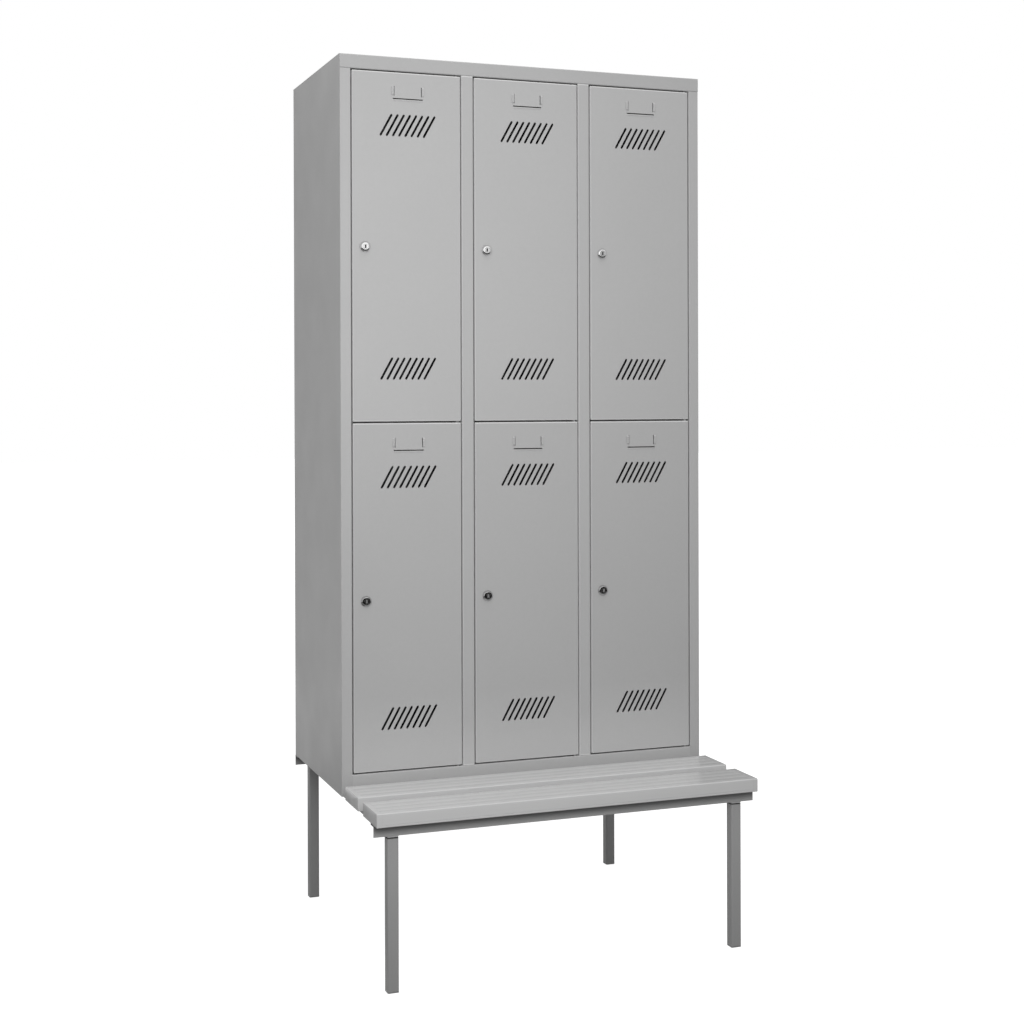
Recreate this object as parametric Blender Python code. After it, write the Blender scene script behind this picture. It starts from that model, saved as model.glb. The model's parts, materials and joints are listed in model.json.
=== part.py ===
"""Steel locker with a bench: three columns of two compartments, standing on a framed bench base.

Metres, +Z up. The front looks towards -Y. The origin is the middle of the floor under the whole object.
"""

import math

import bmesh
import bpy
from mathutils import Matrix, Vector

# Sheet metal and fits
SHEET = 0.001
FOLD_RADIUS = 0.002
FOLD_STEPS = 2
SEAT = 0.0003
OVERRUN = 0.004
MERGE = 0.0000003
SHARP_ANGLE = math.radians(35)

# Cabinet
COLUMNS = 3
CABINET_WIDTH = 0.900
CABINET_HEIGHT = 1.680
CABINET_DEPTH = 0.470
HEADER_HEIGHT = 0.032
HEADER_RETURN = 0.018
HEADER_LIP = 0.010
RAIL_HEIGHT = 0.0475
RAIL_RETURN = 0.030
FLOOR_BACK_FLANGE = 0.020
OUTER_STILE = 0.0255
MIDDLE_STILE = 0.0288
STILE_LIP = 0.008
BACK_FLANGE = 0.015
PARTITION_FLANGE = 0.015

# Doors
SIDE_GAP = 0.0025
END_GAP = 0.003
DOOR_HEIGHT_STEP = 0.0046
DOOR_DEPTH = 0.018
DOOR_LIP = 0.010
DOOR_STOP_GAP = 0.001
HINGE_INSET = 0.008
HINGE_SETBACK = 0.0055

# Slots in each door
SLOTS = 8
SLOT_PITCH = 0.0147
SLOT_WIDTH = 0.0052
SLOT_LENGTH = 0.058
SLOT_LEAN = math.radians(29)
SLOT_END_STEPS = 3
SLOT_GROUP_INSET = 0.121
SLOT_GROUP_SHIFT = 0.0024
LOWER_PATTERN_DROP = 0.0025

# Label holder pressed out of each door
LABEL_WIDTH = 0.0718
LABEL_SHIFT = 0.0028
LABEL_TOP_INSET = 0.0315
LABEL_SIDE_HEIGHT = 0.022
LABEL_FOOT_INSET = 0.060
LUG_WIDTH = 0.005
LUG_RISE = 0.0016
LUG_RAMP = 0.003
SLIT_WIDTH = 0.0014
FOOT_LUG_WIDTH = 0.003
FOOT_LUG_RISE = 0.0006
FOOT_SLIT = 0.0024
LUG_LEDGE = 0.0002

# Lock
LOCK_INSET = 0.0301
UPPER_LOCK_DROP = 0.0011
LOWER_LOCK_DROP = 0.0076
LOCK_FACE_RADIUS = 0.0095
LOCK_RIM_RADIUS = 0.0125
LOCK_RISE = 0.0045
LOCK_RIM_EDGE = 0.0012
BARREL_RADIUS = 0.008
NUT_RADIUS = 0.0115
NUT_HEIGHT = 0.005
PLUG_RADIUS = 0.0055
PLUG_CLEARANCE = 0.0003
PLUG_PROUD = 0.0004
KEYWAY_WIDTH = 0.0024
KEYWAY_HEIGHT = 0.0085
KEYWAY_DEPTH = 0.006
CAM_LENGTH = 0.036
CAM_WIDTH = 0.014
CAM_THICKNESS = 0.002
CAM_STOP_CLEARANCE = 0.001
LOCK_SIDES = 16

# Pivots
PIN_RADIUS = 0.0025
PIN_CLEARANCE = 0.0003
PIN_REACH = 0.008
COLLAR_RADIUS = 0.0035
MIDDLE_COLLAR = 0.0015
TOP_HEAD = 0.0015
PIN_SIDES = 12

# Shelf
SHELF_SETBACK = 0.024
SHELF_FLANGE = 0.020
SHELF_SIDE_FLANGE = 0.015
TONGUE_WIDTH = 0.010
TONGUE_TIP_SETBACK = 0.0015
TONGUE_UNDER_GAP = 0.0005
TONGUE_ROOT = 0.025

# Hanger rail
RAIL_ROD_RADIUS = 0.0075
RAIL_ROD_DROP = 0.060
RAIL_PLATE_RADIUS = 0.014
RAIL_PLATE_THICKNESS = 0.002
ROD_SIDES = 16

# Bench base
BASE_HEIGHT = 0.358
BAR_SIZE = 0.025
BAR_THICKNESS = 0.003
BAR_SETBACK = 0.024
LEG_SIZE = 0.025
LEG_WALL = 0.002
LEG_CORNER = 0.003
LEG_CORNER_STEPS = 2
LEG_INSET = 0.030
LEG_COLLAR = 0.0022
LEG_JOINT = 0.0018
LEG_NECK_SIZE = 0.021
FOOT_RIM = 0.003
FOOT_PLUG = 0.012

# Slats
SLATS = 2
SLAT_WIDTH = 0.110
SLAT_THICKNESS = 0.030
SLAT_GAP = 0.042
SLAT_CABINET_GAP = 0.030
SLAT_EDGE = 0.0025
SLAT_EDGE_STEPS = 3

# Places worked out from the sizes
BENCH_REACH = SLAT_CABINET_GAP + SLATS * SLAT_WIDTH + (SLATS - 1) * SLAT_GAP
BENCH_FRONT = -(CABINET_DEPTH + BENCH_REACH) / 2
FRONT = BENCH_FRONT + BENCH_REACH
BACK = FRONT + CABINET_DEPTH
HALF_WIDTH = CABINET_WIDTH / 2
CABINET_FOOT = BASE_HEIGHT + SEAT
CABINET_TOP = CABINET_FOOT + CABINET_HEIGHT
HEADER_FOOT = CABINET_TOP - HEADER_HEIGHT
RAIL_TOP = CABINET_FOOT + RAIL_HEIGHT
PLATE_UNDERSIDE = CABINET_TOP - SHEET
WALL_INSIDE = HALF_WIDTH - SHEET
BEHIND_FACE = FRONT + SHEET + SEAT
BEHIND_HEADER = BEHIND_FACE + SEAT
STOP_DEPTH = FRONT + DOOR_DEPTH + DOOR_STOP_GAP
BACK_PANEL_REAR = BACK - SHEET - SEAT
BACK_PANEL_FRONT = BACK_PANEL_REAR - SHEET
PARTITION_FRONT = STOP_DEPTH + SEAT
PARTITION_REAR = BACK_PANEL_FRONT - SEAT

STILES = COLUMNS - 1
CLEAR_WIDTH = CABINET_WIDTH - 2 * OUTER_STILE - STILES * MIDDLE_STILE
DOOR_WIDTH = CLEAR_WIDTH / COLUMNS - 2 * SIDE_GAP
COLUMN_PITCH = DOOR_WIDTH + 2 * SIDE_GAP + MIDDLE_STILE
TONGUE_GAP = TONGUE_UNDER_GAP + SHEET + SEAT + MIDDLE_COLLAR + SEAT
DOOR_HEIGHTS = HEADER_FOOT - RAIL_TOP - 2 * END_GAP - TONGUE_GAP
LOWER_DOOR_HEIGHT = (DOOR_HEIGHTS - DOOR_HEIGHT_STEP) / 2
UPPER_DOOR_HEIGHT = LOWER_DOOR_HEIGHT + DOOR_HEIGHT_STEP
LOWER_DOOR_FOOT = RAIL_TOP + END_GAP
LOWER_DOOR_TOP = LOWER_DOOR_FOOT + LOWER_DOOR_HEIGHT
UPPER_DOOR_FOOT = LOWER_DOOR_TOP + TONGUE_GAP
UPPER_DOOR_TOP = UPPER_DOOR_FOOT + UPPER_DOOR_HEIGHT
SHELF_TOP = LOWER_DOOR_TOP + TONGUE_UNDER_GAP + SHEET
HINGE_Y = FRONT + HINGE_SETBACK
CAM_FRONT = STOP_DEPTH + SHEET + CAM_STOP_CLEARANCE

BAR_FRONT = BENCH_FRONT + BAR_SETBACK
CROSS_FOOT = BASE_HEIGHT - BAR_SIZE
COLLAR_FOOT = CROSS_FOOT - SEAT - LEG_COLLAR
LEG_TOP = COLLAR_FOOT - LEG_JOINT
FRONT_LEG_Y = BAR_FRONT + LEG_SIZE / 2
BACK_LEG_Y = BACK - LEG_SIZE / 2
LEG_X = HALF_WIDTH - LEG_INSET - LEG_SIZE / 2

COLUMN_NAMES = ("left", "middle", "right")
TIER_NAMES = ("lower", "upper")


# Materials


def material(name, colour, roughness, metallic=0.0):
    """One painted, plastic or plated surface as a Principled BSDF."""
    made = bpy.data.materials.new(name)
    made.use_nodes = True
    shader = made.node_tree.nodes["Principled BSDF"]
    shader.inputs["Base Color"].default_value = (*colour, 1.0)
    shader.inputs["Roughness"].default_value = roughness
    shader.inputs["Metallic"].default_value = metallic
    made.diffuse_color = (*colour, 1.0)
    return made


def all_materials():
    """The six surfaces of the locker, by name."""
    return {
        "cabinet_paint": material("cabinet_paint", (0.44, 0.44, 0.44), 0.42),
        "frame_paint": material("frame_paint", (0.26, 0.26, 0.26), 0.45),
        "slat": material("slat", (0.46, 0.46, 0.46), 0.25),
        "chrome": material("chrome", (0.82, 0.82, 0.82), 0.12, 1.0),
        "zinc": material("zinc", (0.60, 0.60, 0.60), 0.35, 1.0),
        "foot_plastic": material("foot_plastic", (0.10, 0.10, 0.10), 0.50),
    }


# Making and finishing objects


def add_object(name, mesh, surface, location=(0, 0, 0), parent=None):
    """Places a mesh in the scene under its own name."""
    if not mesh.materials:
        mesh.materials.append(surface)
    made = bpy.data.objects.new(name, mesh)
    bpy.context.scene.collection.objects.link(made)
    made.location = location
    if parent is not None:
        made.parent = parent
        made.location = Vector(location) - parent.location
    return made


def mesh_of(name, shape):
    """Turns a finished bmesh into mesh data and frees it."""
    mesh = bpy.data.meshes.new(name)
    shape.to_mesh(mesh)
    shape.free()
    return mesh


def smooth(mesh):
    """Shades the rounds smooth and keeps the real edges sharp."""
    mesh.shade_smooth()
    mesh.set_sharp_from_angle(angle=SHARP_ANGLE)


def finished(mesh, modifiers):
    """The mesh as the given modifiers leave it, ready to be shared by copies."""
    holder = bpy.data.objects.new(mesh.name, mesh)
    bpy.context.scene.collection.objects.link(holder)
    for kind, settings in modifiers:
        added = holder.modifiers.new(kind.title(), kind)
        for setting, value in settings.items():
            setattr(added, setting, value)
    bpy.context.view_layer.update()
    graph = bpy.context.evaluated_depsgraph_get()
    result = bpy.data.meshes.new_from_object(holder.evaluated_get(graph))
    result.name = mesh.name + "_finished"
    bpy.data.objects.remove(holder)
    return result


def sheet_modifiers():
    """Rounds the folds of an open surface, then gives it the sheet's thickness on its inner side."""
    fold = {"width": FOLD_RADIUS, "segments": FOLD_STEPS, "limit_method": "ANGLE"}
    wall = {"thickness": SHEET, "offset": -1.0, "use_even_offset": True}
    return [("BEVEL", fold), ("SOLIDIFY", wall)]


def cut_with(mesh, cutter_mesh):
    """Takes one mesh out of another."""
    return boolean_of(mesh, cutter_mesh, "DIFFERENCE")


def join_with(mesh, other_mesh):
    """Joins one mesh to another that it overlaps."""
    return boolean_of(mesh, other_mesh, "UNION")


def boolean_of(mesh, other_mesh, operation):
    """One exact Boolean between two meshes in the same coordinates."""
    other = bpy.data.objects.new("boolean_tool", other_mesh)
    bpy.context.scene.collection.objects.link(other)
    result = finished(mesh, [("BOOLEAN", {"object": other, "operation": operation})])
    bpy.data.objects.remove(other)
    return result


# Shapes


def folded_sheet(name, profile, start, end, place):
    """A sheet folded along a profile and run from start to end.

    The outer skin is the side that the profile's direction crossed with the run's direction points to.
    """
    shape = bmesh.new()
    rows = [[shape.verts.new(place(point, station)) for point in profile] for station in (start, end)]
    for step in range(len(profile) - 1):
        shape.faces.new((rows[0][step], rows[0][step + 1], rows[1][step + 1], rows[1][step]))
    return finished(mesh_of(name, shape), sheet_modifiers())


def notched(mesh, blocks):
    """A folded sheet with blocks taken out of it, each given by its two corners."""
    shape = bmesh.new()
    for low, high in blocks:
        add_box(shape, low, high)
    return cut_with(mesh, mesh_of("notches", shape))


def upright(point, height):
    """A profile point seen from above, at a height."""
    return Vector((point[0], point[1], height))


def crosswise(point, x):
    """A profile point seen from the side, as depth and height, at a place across the cabinet."""
    return Vector((x, point[0], point[1]))


def box_shape(low, high):
    """A bmesh block between two corners."""
    shape = bmesh.new()
    add_box(shape, low, high)
    return shape


def add_box(shape, low, high):
    """Adds a block between two corners to a bmesh."""
    low, high = Vector(low), Vector(high)
    place = Matrix.Translation((low + high) / 2) @ Matrix.Diagonal(high - low).to_4x4()
    bmesh.ops.create_cube(shape, size=1, matrix=place)


def pan_mesh(name, low, high, lip, open_side):
    """A tray folded from sheet between two corners, with a lip turned in round its open side."""
    shape = box_shape(low, high)
    opening = max(shape.faces, key=lambda face: face.calc_center_median().dot(Vector(open_side)))
    bmesh.ops.inset_region(shape, faces=[opening], thickness=lip)
    bmesh.ops.delete(shape, geom=[opening], context="FACES")
    return finished(mesh_of(name, shape), sheet_modifiers())


def extruded(name, outline, direction):
    """A solid with a flat outline, run along a direction."""
    shape = bmesh.new()
    face = shape.faces.new([shape.verts.new(point) for point in outline])
    run = bmesh.ops.extrude_face_region(shape, geom=[face], use_keep_orig=True)
    moved = [item for item in run["geom"] if isinstance(item, bmesh.types.BMVert)]
    bmesh.ops.translate(shape, verts=moved, vec=Vector(direction))
    bmesh.ops.recalc_face_normals(shape, faces=shape.faces)
    return mesh_of(name, shape)


def turned(name, profile, sides, axis):
    """A turned solid: a closed profile of (radius, distance along the axis) points spun round the axis."""
    shape = bmesh.new()
    along = Vector(axis)
    out = along.orthogonal().normalized()
    verts = [shape.verts.new(out * radius + along * place) for radius, place in profile]
    edges = [shape.edges.new((verts[i], verts[(i + 1) % len(verts)])) for i in range(len(verts))]
    on_axis = [edge for edge in edges if all(vert.co.cross(along).length < MERGE for vert in edge.verts)]
    bmesh.ops.delete(shape, geom=on_axis, context="EDGES_FACES")
    parts = shape.verts[:] + shape.edges[:]
    bmesh.ops.spin(
        shape, geom=parts, cent=(0, 0, 0), axis=along, angle=2 * math.pi, steps=sides, use_merge=True
    )
    bmesh.ops.remove_doubles(shape, verts=shape.verts, dist=MERGE)
    bmesh.ops.recalc_face_normals(shape, faces=shape.faces)
    mesh = mesh_of(name, shape)
    smooth(mesh)
    return mesh


def rod_profile(steps):
    """A solid rod's turned profile from (radius, start, end) steps, in order along the axis."""
    points = [(0, steps[0][1])]
    for radius, start, end in steps:
        points += [(radius, start), (radius, end)]
    return points + [(0, steps[-1][2])]


def arc(centre, radius, start, end, steps):
    """Points of an arc in a plane, ends included."""
    turn = (end - start) / steps
    angles = [start + turn * i for i in range(steps + 1)]
    return [(centre[0] + radius * math.cos(a), centre[1] + radius * math.sin(a)) for a in angles]


def rounded_rectangle(width, height, radius, steps):
    """The outline of a rectangle round the origin with round corners."""
    points = []
    for quarter, (side, level) in enumerate(((1, 1), (-1, 1), (-1, -1), (1, -1))):
        centre = (side * (width / 2 - radius), level * (height / 2 - radius))
        start = quarter * math.pi / 2
        points += arc(centre, radius, start, start + math.pi / 2, steps)
    return points


def skinned(name, rings):
    """A closed solid from rings of points: a skin from ring to ring, ends capped."""
    shape = bmesh.new()
    rows = [[shape.verts.new(point) for point in ring] for ring in rings]
    for row, following in zip(rows, rows[1:]):
        for i in range(len(row)):
            j = (i + 1) % len(row)
            shape.faces.new((row[i], row[j], following[j], following[i]))
    shape.faces.new(rows[0])
    shape.faces.new(rows[-1])
    bmesh.ops.recalc_face_normals(shape, faces=shape.faces)
    mesh = mesh_of(name, shape)
    smooth(mesh)
    return mesh


def square_ring(size, corner, height):
    """A level ring of points round a square with round corners."""
    return [(x, y, height) for x, y in rounded_rectangle(size, size, corner, LEG_CORNER_STEPS)]


# Cabinet shell


def left_side_panel(looks):
    """Back flange, wall, outer stile, return and stop lip in one sheet."""
    edge = -HALF_WIDTH + OUTER_STILE
    profile = (
        (-HALF_WIDTH + BACK_FLANGE, BACK),
        (-HALF_WIDTH, BACK),
        (-HALF_WIDTH, FRONT),
        (edge, FRONT),
        (edge, STOP_DEPTH),
        (edge + STILE_LIP, STOP_DEPTH),
    )
    add_side_panel("left_side_panel", profile, edge, -1, looks)


def right_side_panel(looks):
    """Inward lip, return, outer stile, wall and back flange in one sheet."""
    edge = HALF_WIDTH - OUTER_STILE
    profile = (
        (edge + STILE_LIP, STOP_DEPTH),
        (edge, STOP_DEPTH),
        (edge, FRONT),
        (HALF_WIDTH, FRONT),
        (HALF_WIDTH, BACK),
        (HALF_WIDTH - BACK_FLANGE, BACK),
    )
    add_side_panel("right_side_panel", profile, edge, 1, looks)


def add_side_panel(name, profile, edge, side, looks):
    """Runs a side panel to the top plate, notched round the header and for the rail behind its stile."""
    mesh = folded_sheet(name, profile, CABINET_FOOT, PLATE_UNDERSIDE - SEAT, upright)
    header_foot = HEADER_FOOT - SEAT
    over = CABINET_TOP + OVERRUN
    outside = side * (HALF_WIDTH + OVERRUN)
    near = edge - STILE_LIP - OVERRUN
    far = edge + STILE_LIP + OVERRUN
    rear = STOP_DEPTH + STILE_LIP
    inward = near if side > 0 else far
    left, right = min(outside, inward), max(outside, inward)
    behind_header = ((left, FRONT - OVERRUN, header_foot), (right, BEHIND_HEADER, over))
    top_return = ((near, FRONT + SHEET / 2, header_foot), (far, rear, over))
    foot_return = ((near, BEHIND_FACE, CABINET_FOOT - OVERRUN), (far, rear, RAIL_TOP + SEAT))
    mesh = notched(notched(mesh, [behind_header]), [top_return, foot_return])
    add_object(name, mesh, looks["cabinet_paint"])


def top_panel(looks):
    """Top plate and header in one sheet, with the header's return and lip between the walls."""
    profile = (
        (BACK, CABINET_TOP),
        (FRONT, CABINET_TOP),
        (FRONT, HEADER_FOOT),
        (FRONT + HEADER_RETURN, HEADER_FOOT),
        (FRONT + HEADER_RETURN, HEADER_FOOT + HEADER_LIP),
    )
    mesh = folded_sheet("top_panel", profile, -HALF_WIDTH, HALF_WIDTH, crosswise)
    foot = HEADER_FOOT - OVERRUN
    lip_top = HEADER_FOOT + HEADER_LIP + OVERRUN
    rear = FRONT + HEADER_RETURN + OVERRUN
    inside = WALL_INSIDE - SEAT
    outside = HALF_WIDTH + OVERRUN
    ends = [
        ((-outside, BEHIND_FACE, foot), (-inside, rear, lip_top)),
        ((inside, BEHIND_FACE, foot), (outside, rear, lip_top)),
    ]
    mesh = cut_with(notched(mesh, ends), pivot_holes(foot, HEADER_FOOT + OVERRUN))
    add_object("top_panel", mesh, looks["cabinet_paint"])


def bottom_panel(looks):
    """Compartment floor and bottom rail in one sheet, notched behind the outer stiles."""
    profile = (
        (BACK_PANEL_FRONT - SEAT, RAIL_TOP - FLOOR_BACK_FLANGE),
        (BACK_PANEL_FRONT - SEAT, RAIL_TOP),
        (FRONT, RAIL_TOP),
        (FRONT, CABINET_FOOT),
        (FRONT + RAIL_RETURN, CABINET_FOOT),
    )
    inside = WALL_INSIDE - SEAT
    mesh = folded_sheet("bottom_panel", profile, -inside, inside, crosswise)
    rail = HALF_WIDTH - OUTER_STILE - SEAT
    foot = CABINET_FOOT - OVERRUN
    over = RAIL_TOP + OVERRUN
    ends = [
        ((-HALF_WIDTH, FRONT - OVERRUN, foot), (-rail, BEHIND_HEADER, over)),
        ((rail, FRONT - OVERRUN, foot), (HALF_WIDTH, BEHIND_HEADER, over)),
    ]
    mesh = cut_with(notched(mesh, ends), pivot_holes(RAIL_TOP - OVERRUN, over))
    add_object("bottom_panel", mesh, looks["cabinet_paint"])


def pivot_holes(low, high):
    """Cutters for the pivot holes of all columns."""
    shape = bmesh.new()
    for column in range(COLUMNS):
        place = Matrix.Translation((hinge_x(column), HINGE_Y, (low + high) / 2))
        add_drill(shape, PIN_RADIUS + PIN_CLEARANCE, high - low, PIN_SIDES, place)
    return mesh_of("pivot_holes", shape)


def add_drill(shape, radius, length, sides, place):
    """Adds a round cutter to a bmesh, its middle at the place and its axis along the place's Z."""
    bmesh.ops.create_cone(
        shape, cap_ends=True, segments=sides, radius1=radius, radius2=radius, depth=length, matrix=place
    )


def back_panel(looks):
    """The flat back between the walls' rear folds, inside the side panels' back flanges."""
    inside = HALF_WIDTH - FOLD_RADIUS - SEAT
    low = (-inside, BACK_PANEL_FRONT, CABINET_FOOT)
    high = (inside, BACK_PANEL_REAR, PLATE_UNDERSIDE - SEAT)
    add_object("back_panel", mesh_of("back_panel", box_shape(low, high)), looks["cabinet_paint"])


def stile_left(index):
    """Left edge of a middle stile."""
    return -HALF_WIDTH + OUTER_STILE + (index + 1) * (DOOR_WIDTH + 2 * SIDE_GAP) + index * MIDDLE_STILE


def partition_x(index):
    """Right face of the partition behind a middle stile."""
    return stile_left(index) + MIDDLE_STILE / 2


def middle_stiles(looks):
    """Each middle stile: inward lip on the hinge side, two returns, and a stop lip on the lock side."""
    for index in range(STILES):
        left = stile_left(index)
        right = left + MIDDLE_STILE
        profile = (
            (left + STILE_LIP, STOP_DEPTH),
            (left, STOP_DEPTH),
            (left, FRONT),
            (right, FRONT),
            (right, STOP_DEPTH),
            (right + STILE_LIP, STOP_DEPTH),
        )
        name = f"middle_stile_{index + 1}"
        mesh = folded_sheet(name, profile, RAIL_TOP + SEAT, HEADER_FOOT - SEAT, upright)
        add_object(name, mesh, looks["cabinet_paint"])


def partitions(looks):
    """Each partition wall, flanged behind its stile's lip and before the back panel."""
    for index in range(STILES):
        wall = partition_x(index)
        profile = (
            (stile_left(index) + FOLD_RADIUS, PARTITION_FRONT),
            (wall, PARTITION_FRONT),
            (wall, PARTITION_REAR),
            (wall - PARTITION_FLANGE, PARTITION_REAR),
        )
        name = f"partition_{index + 1}"
        mesh = folded_sheet(name, profile, RAIL_TOP + SEAT, PLATE_UNDERSIDE - SEAT, upright)
        add_object(name, mesh, looks["cabinet_paint"])


def column_sides(column):
    """Inner left and right limits of a column, a seat's gap off its walls."""
    left = -WALL_INSIDE if column == 0 else partition_x(column - 1)
    right = WALL_INSIDE if column == COLUMNS - 1 else partition_x(column) - SHEET
    return left + SEAT, right - SEAT


# Shelves and hanger rails


def shelves(looks):
    """Each shelf: a folded tray with a tongue that carries the middle pivot between the doors."""
    rear = PARTITION_REAR - SHEET - SEAT
    front = FRONT + SHELF_SETBACK
    for column, side in enumerate(COLUMN_NAMES):
        left, right = column_sides(column)
        low = (left, front, SHELF_TOP - SHELF_FLANGE)
        high = (right, rear, SHELF_TOP)
        tray = pan_mesh(f"{side}_shelf", low, high, SHELF_SIDE_FLANGE, (0, 0, -1))
        mesh = join_with(tray, tongue_mesh(column, front))
        mesh = cut_with(mesh, pivot_holes(SHELF_TOP - OVERRUN, SHELF_TOP + SHEET))
        mesh.name = f"{side}_shelf"
        add_object(f"{side}_shelf", mesh, looks["cabinet_paint"])


def tongue_mesh(column, front):
    """The shelf's forward tongue, round at its tip, running back onto the shelf's plate."""
    radius = TONGUE_WIDTH / 2
    tip_y = FRONT + TONGUE_TIP_SETBACK + radius
    axis = hinge_x(column)
    root = front + TONGUE_ROOT
    tip = arc((axis, tip_y), radius, math.pi, 2 * math.pi, SLOT_END_STEPS)
    outline = tip + [(axis + radius, root), (axis - radius, root)]
    points = [(x, y, SHELF_TOP - SHEET) for x, y in outline]
    return extruded("tongue", points, (0, 0, SHEET))


def hanger_rails(looks):
    """A cross rod in each compartment with a round plate at each wall."""
    depth = (FRONT + BACK) / 2
    ceilings = (SHELF_TOP - SHEET, PLATE_UNDERSIDE)
    for tier, ceiling in zip(TIER_NAMES, ceilings):
        for column, side in enumerate(COLUMN_NAMES):
            left, right = column_sides(column)
            half = (right - left) / 2
            inner = half - RAIL_PLATE_THICKNESS
            steps = (
                (RAIL_PLATE_RADIUS, -half, -inner),
                (RAIL_ROD_RADIUS, -inner, inner),
                (RAIL_PLATE_RADIUS, inner, half),
            )
            name = f"{tier}_{side}_hanger_rail"
            mesh = turned(name, rod_profile(steps), ROD_SIDES, (1, 0, 0))
            add_object(name, mesh, looks["zinc"], ((left + right) / 2, depth, ceiling - RAIL_ROD_DROP))


# Doors


def hinge_x(column):
    """Hinge axis of a column, near the right edge of its doors."""
    door_left = -HALF_WIDTH + OUTER_STILE + SIDE_GAP + column * COLUMN_PITCH
    return door_left + DOOR_WIDTH - HINGE_INSET


def door_mesh(height, drop, lock_height):
    """One door round its hinge axis at the origin: a folded tray with slots, label lugs and holes."""
    low = (HINGE_INSET - DOOR_WIDTH, -HINGE_SETBACK, 0)
    high = (HINGE_INSET, DOOR_DEPTH - HINGE_SETBACK, height)
    mesh = pan_mesh("door", low, high, DOOR_LIP, (0, 1, 0))
    mesh = cut_with(mesh, door_openings(height, drop, lock_height))
    mesh = join_with(mesh, label_lugs(height - drop))
    mesh.name = "door"
    smooth(mesh)
    return mesh


def door_middle():
    """Middle of a door's width from its hinge axis."""
    return HINGE_INSET - DOOR_WIDTH / 2


def door_openings(height, drop, lock_height):
    """Cutters for the slots, the label slits, the lock and the two pivots of a door."""
    shape = bmesh.new()
    for level in (SLOT_GROUP_INSET, height - SLOT_GROUP_INSET):
        for slot in range(SLOTS):
            shift = (slot - (SLOTS - 1) / 2) * SLOT_PITCH
            add_slot(shape, door_middle() + SLOT_GROUP_SHIFT + shift, level - drop)
    for width, length, x, z in label_slits(height - drop):
        add_block(shape, x, z, width, length)
    quarter_turn = Matrix.Rotation(math.pi / 2, 4, "X")
    lock_hole = Matrix.Translation((lock_x(), -HINGE_SETBACK, lock_height)) @ quarter_turn
    add_drill(shape, BARREL_RADIUS + SEAT, 2 * OVERRUN, LOCK_SIDES, lock_hole)
    for end in (0, height):
        add_drill(shape, PIN_RADIUS + PIN_CLEARANCE, 2 * OVERRUN, PIN_SIDES, Matrix.Translation((0, 0, end)))
    return mesh_of("door_openings", shape)


def add_slot(shape, x, z):
    """One leaning slot with round ends, as a cutter through the door's face."""
    radius = SLOT_WIDTH / 2
    reach = SLOT_LENGTH / 2 - radius
    outline = arc((0, reach), radius, 0, math.pi, SLOT_END_STEPS)
    outline += arc((0, -reach), radius, math.pi, 2 * math.pi, SLOT_END_STEPS)
    lean = Matrix.Rotation(SLOT_LEAN, 4, "Y")
    front = -HINGE_SETBACK - OVERRUN
    points = [lean @ Vector((px, 0, pz)) + Vector((x, front, z)) for px, pz in outline]
    add_prism(shape, points, (0, 2 * OVERRUN, 0))


def add_block(shape, x, z, width, length):
    """One straight slit, as a cutter through the door's face."""
    front = -HINGE_SETBACK - OVERRUN
    corners = ((-1, -1), (1, -1), (1, 1), (-1, 1))
    points = [Vector((x + side * width / 2, front, z + level * length / 2)) for side, level in corners]
    add_prism(shape, points, (0, 2 * OVERRUN, 0))


def add_prism(shape, points, direction):
    """Adds a closed prism to a bmesh, with its faces pointing out."""
    face = shape.faces.new([shape.verts.new(point) for point in points])
    run = bmesh.ops.extrude_face_region(shape, geom=[face], use_keep_orig=True)
    moved = [item for item in run["geom"] if isinstance(item, bmesh.types.BMVert)]
    bmesh.ops.translate(shape, verts=moved, vec=Vector(direction))
    faces = {linked for vert in moved for linked in vert.link_faces} | {face}
    bmesh.ops.recalc_face_normals(shape, faces=list(faces))


def label_middle():
    """Middle of the label holder from the door's hinge axis."""
    return door_middle() + LABEL_SHIFT


def label_places(head):
    """Middle heights of the label holder's side lugs and foot slit, down from a head height."""
    side = head - LABEL_TOP_INSET - LABEL_SIDE_HEIGHT / 2
    foot = head - LABEL_FOOT_INSET
    return side, foot


def label_slits(head):
    """Width, length and place of the slits beside the pressed lugs, where a card slips in."""
    side, foot = label_places(head)
    shift = LABEL_WIDTH / 2 - LUG_WIDTH / 2 - LUG_LEDGE - SLIT_WIDTH / 2
    upright_slits = [(SLIT_WIDTH, LABEL_SIDE_HEIGHT, label_middle() + way * shift, side) for way in (-1, 1)]
    foot_slit = (LABEL_WIDTH, FOOT_SLIT, label_middle(), foot)
    return upright_slits + [foot_slit]


def label_lugs(head):
    """The two side lugs and the lower foot lug, as bridges raised from the door's face."""
    side, foot = label_places(head)
    shape = bmesh.new()
    for way in (-1, 1):
        x = label_middle() + way * LABEL_WIDTH / 2
        add_lug(shape, (x, side), (0, 1), (LABEL_SIDE_HEIGHT, LUG_WIDTH, LUG_RISE))
    foot_lug = foot - FOOT_SLIT / 2 - LUG_LEDGE - FOOT_LUG_WIDTH / 2
    add_lug(shape, (label_middle(), foot_lug), (1, 0), (LABEL_WIDTH, FOOT_LUG_WIDTH, FOOT_LUG_RISE))
    return mesh_of("label_lugs", shape)


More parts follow.
